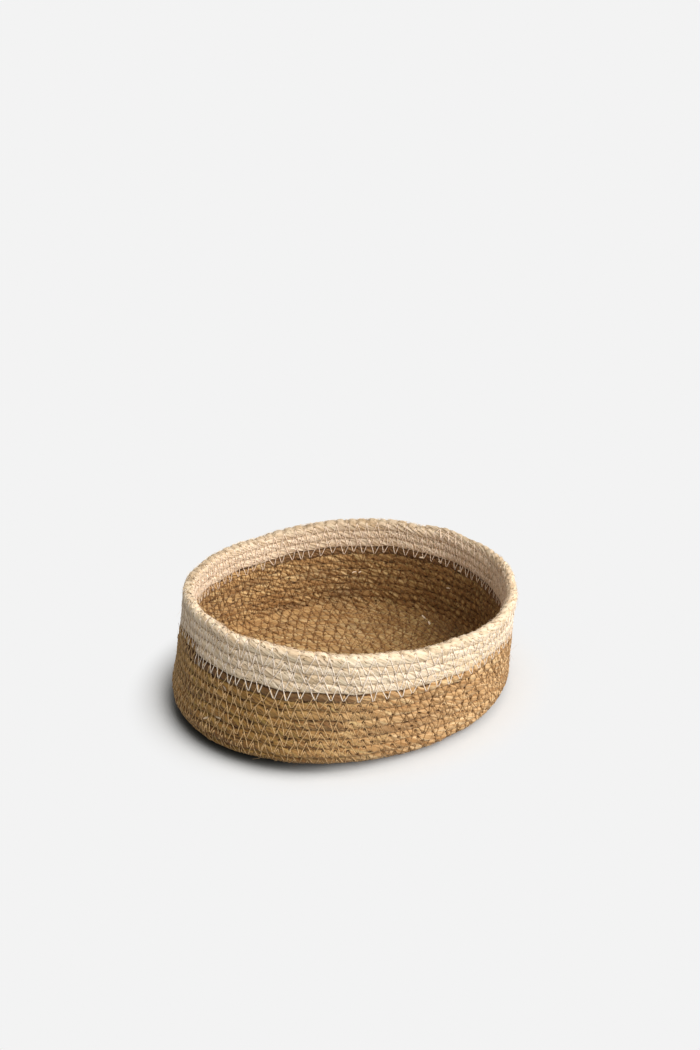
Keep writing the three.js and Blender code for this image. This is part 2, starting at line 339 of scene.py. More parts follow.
# %% Heights of the threads
HALF_COURSE = PITCH / 2
CREST_HEIGHTS = {1: 0.00362, -1: 0.00378}  # of the thread's middle above the rope's, on each face
BRIDGE_SAG = 0.0003
OVERLAP_LIFT = 0.0003
HOLE_DEPTH = 0.0018
DIVE = 0.0013  # the last stretch of a leg, where the thread goes down
NESTLE = 0.00016  # how far the rope swells past a thread's middle
PILLOW_CURVE = 0.0010
CROWN_ROUND = 0.0038  # how far above its middle a thread crosses the last course
DENT_WIDTH = 0.0012
LAST_SEAM = length_at(LAST_SEAM_TURN)


def thread_height(length, offset, reach, face):
    """Height of a thread's middle at an offset from its groove. Its leg ends at `reach`."""
    size = np.abs(offset)
    bridge = 1 - np.minimum(size / HALF_COURSE, 1) ** 2
    dive = np.clip((size - np.abs(reach) + DIVE) / DIVE, 0, 1)
    lift = OVERLAP_LIFT * np.clip(-offset / 0.001, 0, 1) * (1 - dive)
    height = CREST_HEIGHTS[face] - BRIDGE_SAG * bridge + lift
    # On the last course the thread follows the round top of the rope.
    past_crest = np.clip((offset - HALF_COURSE) / CROWN_ROUND, 0, 1) * (length > LAST_SEAM)
    return height * np.sqrt(1 - past_crest**3) - HOLE_DEPTH * dive**2 * (1 - 0.7 * past_crest)


def under_stitches(length, offset, face):
    """How high the rope may swell at points beside a groove, and how far each is from a hole."""
    rows = [STITCHES["natural", face], STITCHES["pale", face]]
    at = np.concatenate([row[0] for row in rows])
    reach = np.concatenate([row[1] for row in rows])
    first = np.searchsorted(at, length) - 1
    height = np.full(len(length), 1.0)
    to_hole = np.full(len(length), 1.0)
    for leg in (-1, 0, 1):
        k = first + leg
        real = np.nonzero((k >= 0) & (k + 1 < len(at)))[0]
        k = k[real]
        px, py = length[real] - at[k], offset[real] - reach[k]
        dx, dy = at[k + 1] - at[k], reach[k + 1] - reach[k]
        part = np.clip((px * dx + py * dy) / (dx * dx + dy * dy), 0, 1)
        gap = np.hypot(px - part * dx, py - part * dy)
        spot = reach[k] + part * dy
        end = np.where(spot * reach[k] > 0, reach[k], reach[k + 1])
        held = thread_height(at[k], spot, end, face) - NESTLE + gap**2 / PILLOW_CURVE
        height[real] = np.minimum(height[real], held)
        to_hole[real] = np.minimum(to_hole[real], np.hypot(px, py))
    return height, to_hole


def crown_dents(length):
    """How near each place on the last course is to a thread that wraps over it, from 0 to 1."""
    tips = []
    for face in (1, -1):
        at, reach = STITCHES["pale", face]
        tips.append(at[(at > LAST_SEAM) & (reach > 0)])
    tips = np.sort(np.concatenate(tips))
    after = np.clip(np.searchsorted(tips, length), 1, len(tips) - 1)
    near = np.minimum(np.abs(length - tips[after - 1]), np.abs(tips[after] - length))
    return np.exp(-((near / DENT_WIDTH) ** 2))


print("threads on the crest, mm above the middle", [1000 * h for h in CREST_HEIGHTS.values()])

# %% [markdown]
# Rush rope is two or more bundles of flat leaves twisted round each other. A tube alone would look
# like a hose, so its surface is carved: valleys between the bundles and shallower ones between
# leaves run round it like the stripes of a barber's pole. A bump map could fake this from afar,
# but real valleys also shape the outline and catch the light from every side.

# %% Twisted leaves
TAPER_LENGTH = 0.075
TAPER_SHARE = 0.35
LEAF_WRINKLES = (5, 7, 9, 12, 15)  # waves round the rope
TWIST_STRAY, VALLEY_STRAY, WRINKLE_STRAY = 0.7, 0.35, 3  # radians from an even twist
DEPTH_STRAY = 0.6  # as a share of a valley's depth
LEAVES = {
    "natural": dict(
        lay=0.05,  # metres of rope in one twist
        valleys=(0.55, 0.25, 0.45, 0.2, 0.5, 0.3),  # their depths in millimetres
        width=0.25,
        wrinkle=0.0001,
    ),
    "pale": dict(
        lay=0.05,
        valleys=(0.38, 0.15, 0.25, 0.16, 0.34, 0.1, 0.2),
        width=0.17,
        wrinkle=0.0001,
    ),
}
print("valleys round each rope", {kind: len(leaves["valleys"]) for kind, leaves in LEAVES.items()})


def taper_at(length):
    """The share of its thickness that the rope has left towards its end."""
    left = np.clip((FINE_LENGTHS[-1] - length) / TAPER_LENGTH, 0, 1)
    return TAPER_SHARE + (1 - TAPER_SHARE) * left


def twisted_leaves(length, angle, lay, valleys, width, wrinkle):
    """Depth of the valleys between leaves, where the creases are, and the angle without twist."""
    twist = 2 * math.pi * length / lay + TWIST_STRAY * wander(length, "twist")[:, 0]
    phase = angle[None, :] - twist[:, None]
    walk = wander(length, "leaves", 2 * len(valleys))
    relief = np.zeros(phase.shape)
    crease = np.zeros(phase.shape)
    for k, depth in enumerate(valleys):
        centre = 2 * math.pi * k / len(valleys) + VALLEY_STRAY * walk[:, k]
        away = np.abs((phase - centre[:, None] + math.pi) % (2 * math.pi) - math.pi)
        strength = 1 + DEPTH_STRAY * walk[:, len(valleys) + k]
        valley = np.exp(-((away / width) ** 2)) * strength[:, None]
        relief -= 0.001 * depth * valley
        crease = np.maximum(crease, depth * valley)
    walk = wander(length, "wrinkles", 2 * len(LEAF_WRINKLES))
    for k, waves in enumerate(LEAF_WRINKLES):
        shift = WRINKLE_STRAY * walk[:, k]
        strength = wrinkle * (1 + walk[:, len(LEAF_WRINKLES) + k])
        relief += strength[:, None] * np.sin(waves * phase + shift[:, None])
    return relief, crease, phase


# %% [markdown]
# Where the rope was fed loosely, a slit opens between two courses. A few courses under the paler
# rope are darker and greyer, partly their own tone and partly painted shadow from the paler
# courses above, and a little apart from their neighbours. Every slit could be left to chance, but
# the few wide ones catch the eye, so they stand at known turns.

# %% Slits and greyer, shaded courses
SLIT = 0.0013  # the widest slit between courses that chance makes
GAP_SLACK = 1.4  # how much wider the known ones are
GAPS = (  # the known ones: turn and half-width in turns
    (21.345, 0.016), (21.385, 0.006), (20.798, 0.006),
    (16.62, 0.005), (18.61, 0.004), (15.66, 0.004),
)
# Stretches under the rim that are greyer: partly the rope's own tone, partly painted shadow.
AGED_AND_SHADED = (  # first turn, last turn and how much
    (20.50, 20.74, 1.0), (20.94, 21.36, 0.6),
)
print("known slits", len(GAPS), "and aged stretches", len(AGED_AND_SHADED))


def aged_and_shaded_at(turns):
    """How greyed the rope is, from 0 to 1: partly its own tone, partly painted shadow."""
    aged_and_shaded = np.zeros(len(turns))
    for first, last, amount in AGED_AND_SHADED:
        window = ramp(turns, first, first + 0.04) * (1 - ramp(turns, last - 0.06, last))
        aged_and_shaded = np.maximum(aged_and_shaded, amount * window)
    return aged_and_shaded


def slack_at(turns, tightness):
    """How wide the slit above the rope is, as a share of the widest."""
    slack = ramp(wander(length_at(turns), "feed")[:, 0], tightness, 1.0)
    slack = slack * ramp(turns, BASE_END + 2.0, BASE_END + 3.5)
    for gap_turn, half_width in GAPS:
        slack = np.maximum(slack, GAP_SLACK * np.exp(-(((turns - gap_turn) / half_width) ** 4)))
    return np.maximum(slack, 0.8 * aged_and_shaded_at(turns))


# %% [markdown]
# The threads hold the rope down, and it swells into pillows between them. Cutting the rope with
# the threads would leave sharp steps, so at each point the lower of the two heights is taken, with
# the corner between them rounded off.

# %% Pressed under the threads
CORNER = 0.0001  # how softly a pillow meets the place where a thread holds it
FACE_START = 0.2  # sine of the angle round the rope from which threads can press it
CONTACT = 0.00002  # how far the pressed rope sinks to touch the floor


def press_under_threads(surface, offset, angle, turns, taper):
    """The surface that the threads leave, how far they press it, and how far its holes are."""
    length, one_turn_back = length_at(turns), length_at(turns - 1)
    one_turn_back[turns - 1 < START] = -1.0
    holes = np.full(surface.shape, 1.0)
    pressed = np.zeros(surface.shape)
    for face in (1, -1):
        columns = np.nonzero(face * np.sin(angle) > FACE_START)[0]
        flat_offset = offset[:, columns].ravel()
        for at, groove in ((length, 1), (one_turn_back, -1)):
            along = np.repeat(at, len(columns))
            height, to_hole = under_stitches(along, flat_offset - groove * HALF_COURSE, face)
            height = height.reshape(len(turns), -1) * taper[:, None]
            swollen = face * surface[:, columns]
            held = -CORNER * np.logaddexp(-swollen / CORNER, -height / CORNER)
            pressed[:, columns] = np.maximum(pressed[:, columns], swollen - held)
            surface[:, columns] = face * held
            holes[:, columns] = np.minimum(holes[:, columns], to_hole.reshape(len(turns), -1))
    return surface, pressed, holes


def above_floor(height, softness=0.0009):
    """The floor presses flat what would lie under it."""
    pressed = softness * np.exp(np.minimum(height / softness - 1, 0)) - CONTACT
    return np.where(height < softness, pressed, height)


# %% [markdown]
# The finish needs to know more than a shape can tell it: where leaves meet and threads cut in,
# which it paints dark as painted shade, where a bunch of leaves was darker, and where each point
# would be on the straight rope. That is worked out here, and is stored on the points of the mesh.


# %% What the finish needs to know
DARKEST_PRESS = 0.0013  # how far in the rope is pressed where it looks darkest
HOLE_SHADE = 0.0009  # how far the dark round a hole reaches
TONE_STRAY = 0.7  # how much bunches of leaves differ


def painted_shade_at(shadow, inside, dim, crease, edge, pressed, holes):
    """How dark the painted shade is, in creases, between courses, under threads and at holes."""
    creased = 0.9 * crease * (0.45 + 0.55 * np.maximum(inside, dim))
    deep = (creased + edge + pressed * (1 - 0.5 * inside) / DARKEST_PRESS) * shadow
    return np.clip(deep + (0.65 - 0.15 * inside) * np.exp(-((holes / HOLE_SHADE) ** 2)), 0, 1)


def tone_at(turns, inside):
    """The slow change of tone, with painted shade on the base and on the courses under the rim."""
    # Painted shade: the base is darker, most on its outer face.
    low = 1 - ramp(turns, BASE_END - 0.5, BASE_END + 3.5)[:, None]
    tone = (TONE_STRAY - 0.35 * low) * wander(length_at(turns), "tone")
    # Painted shadow under the rim, with the rope's own greyer tone there.
    tone = tone - 2.0 * aged_and_shaded_at(turns)[:, None]
    return tone - low * (0.2 * inside + 0.55 * (1 - inside))


def pulled_straight(run, angle, radius):
    """Where each point would be if the strand were untwisted and pulled straight."""
    angle = np.broadcast_to(angle, (len(run), angle.shape[-1]))
    along = np.repeat(run[:, None], angle.shape[-1], 1)
    return np.stack([along, radius * np.cos(angle), radius * np.sin(angle)], -1)


# %% [markdown]
# Now the rope itself. Neighbouring courses press it square, but nothing presses the top of the
# last course, so that is rounder, dented by the threads that wrap over it and swollen between
# them. Its top is painted darker, greener and more speckled: painted shade, strongest at the back.

# %% The rope's surface
RING_STEP = 0.0006
FACE_CROWDING = 0.2  # draws the ring's points towards the two faces that show
CROWN_DENT = 0.00045  # under each thread that wraps over the last course
CROWN_PILLOW = 0.001  # how far the rope swells up between them
CROWN_TURNS = (END - 1.03, END - 0.98)  # where the rope's top becomes free of a next course
ROPES = {
    "natural": dict(
        points=26,
        squareness=0.42,
        pressed_in=0.00035,  # how far neighbouring courses are pressed into each other
        tightness=0.2,  # more of it leaves fewer slits between the courses
        shadow=0.95,
        swollen=1.14,  # how thick the rope would be without its threads
        bold=(0.75, 2.1),  # depth of the relief, outside and inside
    ),
    "pale": dict(
        points=38,
        squareness=0.54,
        pressed_in=0.00055,
        tightness=0.6,
        shadow=0.34,
        swollen=1.0,
        bold=(0.65, 1.1),
    ),
}
print("points in a ring of each rope", {kind: habit["points"] for kind, habit in ROPES.items()})


def signed_power(values, power):
    return np.sign(values) * np.abs(values) ** power


def rope_surface(turns, kind):
    """Points of each ring of the rope, and what its finish needs to know there."""
    habit = ROPES[kind]
    length = length_at(turns)
    middle, out, up = on_skin(turns)
    even = np.arange(habit["points"]) / habit["points"] * 2 * math.pi
    angle = even + FACE_CROWDING * np.sin(2 * even)
    relief, crease, phase = twisted_leaves(length, angle, **LEAVES[kind])
    swell = wander(length, "swell", 2)
    slack = slack_at(turns, habit["tightness"])
    taper = taper_at(length)

    upper = np.cos(angle) > 0
    free = ramp(turns, *CROWN_TURNS)[:, None] * upper[None, :]
    square = habit["squareness"]
    across = signed_power(np.cos(angle), 0.8 + 0.2 * free)
    through = signed_power(np.sin(angle), 1 - square + 0.45 * square * free)
    above = np.interp(turns, ROOM_TURNS, ROOM_ABOVE) / 2 + habit["pressed_in"] - SLIT * slack
    below = np.interp(turns, ROOM_TURNS, ROOM_BELOW) / 2 + habit["pressed_in"]
    offset = np.where(upper[None, :], above[:, None], below[:, None]) * taper[:, None] * across
    drop = below * (taper - 1)  # the thin end still lies on the course below it
    dents = crown_dents(length_at(turns - 1))[:, None] * free
    pillows = (free - dents) * (0.5 + 0.5 * wander(length, "crown"))
    offset = offset + (CROWN_PILLOW * pillows - CROWN_DENT * dents) * np.cos(angle) ** 2

    depth = HALF_THICKNESS * (habit["swollen"] - 0.02 + 0.04 * swell[:, 0]) * taper
    boldness = np.where(np.sin(angle) < 0, habit["bold"][1], habit["bold"][0])[None, :]
    surface = depth[:, None] * through + boldness * relief * taper[:, None] * np.sin(angle)
    lying = offset + drop[:, None]
    surface, pressed, holes = press_under_threads(surface, lying, angle, turns, taper)
    grow_across = offset + 0.5 * relief * taper[:, None] * np.cos(angle)
    points = (
        middle[:, None, :]
        + (grow_across + drop[:, None])[:, :, None] * up[:, None, :]
        + (surface + 0.0002 * swell[:, 1:])[:, :, None] * out[:, None, :]
    )
    points[:, :, 2] = above_floor(points[:, :, 2])

    inside = ramp(-np.sin(angle), -0.2, 0.4)[None, :]
    # Painted shade: the outer face towards the end away from the light, and the inner wall that
    # faces away from it, are painted darker, greener and more speckled.
    dim = (1 - inside) * ramp(-middle[:, :1], -0.03, 0.09)
    dim = dim + 0.5 * inside * ramp(middle[:, :1], 0.0, 0.09)
    # Painted shade along the edges where courses meet, strongest in the slits.
    edge = (0.2 + 0.3 * inside + 1.0 * slack[:, None] * upper[None, :]) * np.abs(across) ** 6
    deep = painted_shade_at(habit["shadow"], inside, dim, crease, edge, pressed, holes)
    # Painted shade on the top of the last course, strongest at the back, and in its dents.
    painted_crown_shade = free * np.abs(np.cos(angle)) * ramp(middle[:, 1:2], -0.03, 0.04)
    facts = {
        "straight": pulled_straight(length, phase, HALF_THICKNESS),
        "deep": np.clip(deep + 0.55 * painted_crown_shade + 0.12 * dents, 0, 1)[..., None],
        "tone": tone_at(turns, inside)[..., None],
        "inside": np.repeat(inside[..., None], len(turns), 0),
        "dim": (dim + 0.9 * free)[..., None],
    }
    return points, facts


# %% [markdown]
# Ropes and threads are swept: rings of points along a path, joined by quads. A Blender curve with
# a bevel would do for a plain tube, but here every ring has its own shape, so the mesh is made
# straight from the points. Its UVs are strips of the tube laid side by side.


# %% Swept meshes
def add_facts(mesh, facts):
    """Stores values on the points of a mesh, where its finish can read them."""
    for title, values in facts.items():
        vector = values.shape[-1] == 3
        made = mesh.attributes.new(title, "FLOAT_VECTOR" if vector else "FLOAT", "POINT")
        field = "vector" if vector else "value"
        made.data.foreach_set(field, values.ravel().astype(np.float32))


def swept_mesh(name, points, facts, rows_of_uv):
    """A closed tube through rings of points."""
    rings, sides = points.shape[:2]
    ring, side = np.meshgrid(np.arange(rings - 1), np.arange(sides), indexing="ij")
    after = (side + 1) % sides
    quads = np.stack(
        [
            ring * sides + side,
            ring * sides + after,
            (ring + 1) * sides + after,
            (ring + 1) * sides + side,
        ],
        -1,
    ).reshape(-1, 4)
    caps = [np.arange(sides)[::-1], (rings - 1) * sides + np.arange(sides)]
    mesh = bpy.data.meshes.new(name)
    mesh.vertices.add(rings * sides)
    mesh.vertices.foreach_set("co", points.reshape(-1).astype(np.float32))
    loops = np.concatenate([quads.ravel(), *caps])
    mesh.loops.add(len(loops))
    mesh.loops.foreach_set("vertex_index", loops.astype(np.int32))
    starts = np.concatenate([np.arange(len(quads)) * 4, len(quads) * 4 + np.array([0, sides])])
    mesh.polygons.add(len(starts))
    mesh.polygons.foreach_set("loop_start", starts.astype(np.int32))
    mesh.polygons.foreach_set("use_smooth", np.ones(len(starts), bool))

    per_row = math.ceil((rings - 1) / rows_of_uv)
    row, place = ring // per_row, ring % per_row
    margin = 0.06
    u = np.stack([place, place, place + 1, place + 1], -1) / per_row
    v = np.stack([side, side + 1, side + 1, side], -1) / sides
    v = (row[..., None] + margin + v * (1 - 2 * margin)) / rows_of_uv
    uv = np.stack([0.002 + 0.996 * u, v], -1).reshape(-1, 2)
    uv = np.concatenate([uv, np.zeros((2 * sides, 2))])
    layer = mesh.uv_layers.new(name="OFBake")
    layer.data.foreach_set("uv", uv.ravel().astype(np.float32))
    add_facts(mesh, facts)
    mesh.update()
    mesh.validate()
    return mesh


def add_piece(mesh, slot, *nodes):
    piece = bpy.data.objects.new(mesh.name, mesh)
    bpy.context.scene.collection.objects.link(piece)
    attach(piece, "root")
    if nodes:
        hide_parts(*nodes)
    return piece


# %% [markdown]
# One length of natural rope makes the base and the wall, and a paler one goes on from it. Each is
# cut into a few meshes that meet ring to ring, so that none gets too heavy to handle.

# %% The ropes
LONGEST_PIECE = 2.25  # metres of rope in one mesh
UV_ROWS = 10
NOSE_LENGTH = 0.0034
NOSE_ANGLES = np.radians([80, 64, 48, 32, 16])


def with_nose(points, facts):
    """Rounds off the rope's first end, so that it fills the eye in the middle of the base."""
    centre = points[0].mean(0)
    ahead = unit(centre - points[2].mean(0))
    rings = []
    for angle in NOSE_ANGLES:
        ring = centre + (points[0] - centre) * math.cos(angle)
        rings.append(ring + NOSE_LENGTH * math.sin(angle) * ahead)
    points = np.concatenate([rings, points])
    for title, values in facts.items():
        facts[title] = np.concatenate([np.repeat(values[:1], len(rings), 0), values])
    return points, facts


def wind_rope(name, node, first, last, kind, slot):
    """One CAD coil's rope, cut into equal lengths so that no mesh gets too heavy."""
    ends = length_at(np.array([first, last]))
    parts = math.ceil((ends[1] - ends[0]) / LONGEST_PIECE)
    cuts = np.linspace(*ends, parts + 1)
    made = []
    for k in range(parts):
        rings = int((cuts[k + 1] - cuts[k]) / RING_STEP)
        turns = turn_at(np.linspace(cuts[k], cuts[k + 1], rings))
        points, facts = rope_surface(turns, kind)
        if turns[0] == START:
            points, facts = with_nose(points, facts)
        mesh = swept_mesh(f"{name}_{k + 1}", points, facts, UV_ROWS)
        made.append(add_piece(mesh, slot, node))
    print(name, len(made), "meshes,", round(ends[1] - ends[0], 2), "m of rope")
    return made


base_rope = wind_rope("base_rope", "base_coil", START, BASE_END, "natural", "natural_rush")
wall_rope = wind_rope("wall_rope", "wall_coil", BASE_END, RIM_START, "natural", "natural_rush")
rim_rope = wind_rope("rim_rope", "rim_coil", RIM_START, END, "pale", "pale_rush")

# %% [markdown]
# Between two holes a thread lies in a straight leg. The tube below follows the legs at the heights
# found above. The white thread is thicker than the tan one.

# %% Threads
THREAD_SIDES = 4
THREAD_FLATNESS = 0.7  # a pressed thread is this much thinner than it is wide
THREAD_UV_ROWS = 24
LEG_PARTS = np.array([0, 0.05, 0.13, 0.3, 0.5, 0.7, 0.87, 0.95])


def thread_path(kind, face, radius):
    at, reach = STITCHES[kind, face]
    part = LEG_PARTS[None, :]
    length = (at[:-1, None] + part * np.diff(at)[:, None]).ravel()
    offset = (reach[:-1, None] + part * np.diff(reach)[:, None]).ravel()
    end = np.where(offset * np.repeat(reach[:-1], part.size) > 0, 0, 1)
    end = reach[np.repeat(np.arange(len(reach) - 1), part.size) + end]
    length, offset = np.append(length, at[-1]), np.append(offset, reach[-1])
    height = thread_height(length, offset, np.append(end, reach[-1]), face)
    taper = taper_at(length_at(np.minimum(turn_at(length) + 1, END)))
    share = np.clip(offset / HALF_COURSE, 0, 1)
    height = height * (1 - (1 - taper) * share)
    offset = np.where(offset > 0, offset * taper, offset)
    place, out, _ = on_skin(turn_at(length), HALF_COURSE + offset)
    path = place + face * height[:, None] * out
    path[:, 2] = np.maximum(above_floor(path[:, 2]), radius)
    return path, face * out


def thread_piece(name, kind, face, radius, slot, node):
    path, out = thread_path(kind, face, radius)
    steps = unit(np.diff(path, axis=0))
    heading = unit(np.concatenate([steps[:1], steps[1:] + steps[:-1], steps[-1:]]))
    side = unit(np.cross(out, heading))
    raised = np.cross(heading, side)
    angle = np.arange(THREAD_SIDES) / THREAD_SIDES * 2 * math.pi
    ring = THREAD_FLATNESS * raised[:, None, :] * np.cos(angle)[None, :, None]
    ring = ring - side[:, None, :] * np.sin(angle)[None, :, None]
    points = path[:, None, :] + radius * ring
    points[:, :, 2] = np.maximum(points[:, :, 2], 0)
    run = np.concatenate([[0], np.cumsum(np.linalg.norm(np.diff(path, axis=0), axis=1))])
    # Share towards the end away from the light; the finish paints the rest darker as painted shade.
    dim = np.repeat(ramp(-path[:, :1], -0.02, 0.03)[:, None], THREAD_SIDES, 1)
    facts = {"straight": pulled_straight(run, angle, radius), "dim": dim}
    mesh = swept_mesh(name, points, facts, THREAD_UV_ROWS)
    print(name, round(run[-1], 1), "m,", 2 * THREAD_SIDES * len(run), "triangles")
    return add_piece(mesh, slot, node)


THREADS = {  # each one's rope, face, radius, slot and the CAD node that it stands for
    "tan_needle_thread": ("natural", 1, 0.00034, "tan_thread", "wall_needle_thread"),
    "tan_bobbin_thread": ("natural", -1, 0.00026, "tan_thread", "wall_bobbin_thread"),
    "white_needle_thread": ("pale", 1, 0.00035, "white_thread", "rim_needle_thread"),
    "white_bobbin_thread": ("pale", -1, 0.0003, "white_thread", "rim_bobbin_thread"),
}
threads = {name: thread_piece(name, *habit) for name, habit in THREADS.items()}

# %% [markdown]
# Rush is a leaf, and leaves fray. Short fibres stand off the rope, most of them on the crown of
# the rim, where hands rub. They are tiny, but on the outline they tell the eye that this is a
# dry plant. Blender's hair could make them, but plain meshes go wherever the model goes.


# %% Many small tubes in one mesh
def small_tubes(name, points, facts):
    """Closed tubes in one mesh. Their points are sorted by tube, ring and corner."""
    count, rings, corners = points.shape[:3]
    one = rings * corners
    walls = []
    for k in range(rings - 1):
        for c in range(corners):
            here, after = k * corners + c, k * corners + (c + 1) % corners
            walls.append((here, after, after + corners, here + corners))
    caps = [tuple(range(corners))[::-1], tuple(range(one - corners, one))]
    faces = [tuple(n * one + v for v in face) for n in range(count) for face in walls + caps]
    mesh = bpy.data.meshes.new(name)
    mesh.from_pydata(points.reshape(-1, 3).tolist(), [], faces)
    add_facts(mesh, facts)
    mesh.uv_layers.new(name="OFBake")
    return mesh


# %% Loose fibres
FIBRE_RINGS, FIBRE_SIDES = 6, 3
FIBRE_RADIUS = 0.00011
SHORTEST_FIBRE = 0.0012
LEAST_LIFT = 0.0002


def fibre_piece(name, first, last, count, slot, seed, crown=False):
    """Bent hairs on both faces of the rope, or round its top on the crown of the rim."""
    random = np.random.default_rng(seed)
    length = random.uniform(*length_at(np.array([first, last])), count)
    face = np.where(random.random(count) < 0.6, 1, -1)
    around = face * math.pi / 2 + random.normal(0, 0.5, count)
    longest, highest, root = 0.008, 0.0010, 0.0036
    if crown:
        around = random.uniform(-1.3, 1.3, count)
        longest, highest = 0.0035, 0.0012
        root = 0.0037 + 0.0008 * np.cos(around)[:, None, None] ** 2
    middle, out, up = on_skin(turn_at(length))
    away = up * np.cos(around)[:, None] + out * np.sin(around)[:, None]
    along = unit(np.cross(out, up)) * np.where(random.random(count) < 0.5, 1, -1)[:, None]
    side = np.cross(away, along)
    reach = random.uniform(SHORTEST_FIBRE, longest, count)
    lift = random.uniform(LEAST_LIFT, highest, count)
    slant = random.normal(0, 0.7, count).clip(-1, 1)
    part = (np.arange(FIBRE_RINGS) / (FIBRE_RINGS - 1))[None, :, None]
    corner = np.arange(FIBRE_SIDES) / FIBRE_SIDES * 2 * math.pi
    raised = root + lift[:, None, None] * part * (1.7 - part)
    spine = (
        middle[:, None, :]
        + along[:, None, :] * reach[:, None, None] * part
        + side[:, None, :] * (reach * slant)[:, None, None] * part
        + away[:, None, :] * raised
    )
    thick = FIBRE_RADIUS * (1 - 0.75 * part)[..., None]
    ring = (
        np.cos(corner)[None, None, :, None] * up[:, None, None, :]
        + np.sin(corner)[None, None, :, None] * out[:, None, None, :]
    )
    points = spine[:, :, None, :] + thick * ring
    points[..., 2] = np.maximum(points[..., 2], 0.0001)
    straight = np.stack([length, random.normal(0, 0.003, count), lift], -1)
    straight = np.repeat(straight, FIBRE_RINGS * FIBRE_SIDES, 0)
    print(name, count, "fibres")
    return add_piece(small_tubes(name, points, {"straight": straight}), slot)


natural_fibres = fibre_piece("natural_fibres", 10.0, RIM_START, 2600, "natural_rush", 21)
pale_fibres = fibre_piece("pale_fibres", RIM_START, END - 1, 1200, "pale_rush", 22)
crown_fibres = fibre_piece("crown_fibres", END - 1, END - 0.1, 2400, "pale_rush", 23, crown=True)

# %% [markdown]
# Now and then a scrap of husk is caught in the sewing. Each one is a bent sliver, widest in
# its middle, and stands at a known turn of the rope.

# %% Husks
HUSK_RINGS = 6
HUSK_HALF_WIDTH = 0.0008
HUSK_RIDGE, HUSK_BELLY = 0.00018, 0.00006  # how far its two broad faces stand out and in
HUSK_ROOT, HUSK_CURL = 0.004, 0.0012  # height above the rope's middle, and what its tip adds
OUTER_HUSK_SHADE = 0.75
HUSKS = (  # turn, place across the course, face, length and lean
    (19.589, 0.0, 1, 0.0042, 1.2), (16.586, -0.4, 1, 0.0034, 0.3), (15.57, 0.3, 1, 0.0040, -0.6),
    (21.124, 0.0, -1, 0.0036, 0.1), (21.102, 0.3, -1, 0.0022, 0.3),
    (21.074, -0.2, -1, 0.0024, 0.2), (18.087, 0.1, -1, 0.0026, 0.2), (18.206, 0.3, -1, 0.0036, 0.0),
    (18.199, 0.3, -1, 0.0022, 0.0), (12.11, 0.0, -1, 0.0040, 0.4), (11.097, 0.2, -1, 0.0034, 0.7),
    (20.477, 0.2, 1, 0.0046, 0.8), (17.31, 0.1, 1, 0.0022, 0.5), (24.04, 0.9, 1, 0.0050, 0.9),
)


def husk_piece(name, slot):
    turn, place, face, size, lean = (np.array(column) for column in zip(*HUSKS))
    middle, out, up = on_skin(turn.astype(float), place * HALF_COURSE)
    out = out * face[:, None]
    along = unit(np.cross(out, up))
    ahead = along * np.cos(lean)[:, None] + up * np.sin(lean)[:, None]
    side = np.cross(out, ahead)[:, None, :]
    ahead, out = ahead[:, None, :], out[:, None, :]
    part = np.linspace(0, 1, HUSK_RINGS)[None, :, None]
    spine = middle[:, None, :] + (part - 0.5) * size[:, None, None] * ahead
    spine = spine + (HUSK_ROOT + HUSK_CURL * part**2) * out
    width = HUSK_HALF_WIDTH * np.sqrt(np.sin(math.pi * (0.06 + 0.88 * part)))
    left, right = spine - width * side, spine + width * side
    points = np.stack([left, spine - HUSK_BELLY * out, right, spine + HUSK_RIDGE * out], 2)
    corners = points.shape[2]
    run = np.repeat(np.linspace(0, 0.004, HUSK_RINGS), corners)
    facts = {
        "straight": np.tile(np.stack([run, run * 0, run * 0], -1), (len(HUSKS), 1)),
        "deep": np.repeat(OUTER_HUSK_SHADE * (face > 0), HUSK_RINGS * corners)[:, None],
    }
    print(name, len(HUSKS), "husks")
    return add_piece(small_tubes(name, points, facts), slot)


husks = husk_piece("husks", "pale_rush")

# %% [markdown]
# The finishes are sums of noise. The helper below lets them be written as Python: a `Value` wraps
# a socket, and adding or multiplying values adds the Math nodes that do it.


# %% A small language for shaders
class Value:
    """A number that changes over the surface, held by a socket of the recipe's node tree."""

    def __init__(self, recipe, socket):
        self.recipe = recipe
        self.socket = socket

    def __add__(self, other):
        return self.recipe.math("ADD", self, other)

    def __sub__(self, other):
        return self.recipe.math("SUBTRACT", self, other)

    def __rsub__(self, other):
        return self.recipe.math("SUBTRACT", other, self)

    def __mul__(self, other):
        return self.recipe.math("MULTIPLY", self, other)

    __radd__ = __add__
    __rmul__ = __mul__

    def held(self):
        """The same number, held between 0 and 1."""
        return self.recipe.math("ADD", self, 0.0, clamp=True)

    def from_to(self, low, high):
        """0 below low, 1 above high and a smooth climb between."""
        settings = {"interpolation_type": "SMOOTHSTEP"}
        inputs = {"Value": self, "From Min": low, "From Max": high}
        made = self.recipe.node("ShaderNodeMapRange", settings, inputs)
        return Value(self.recipe, made.outputs[0])


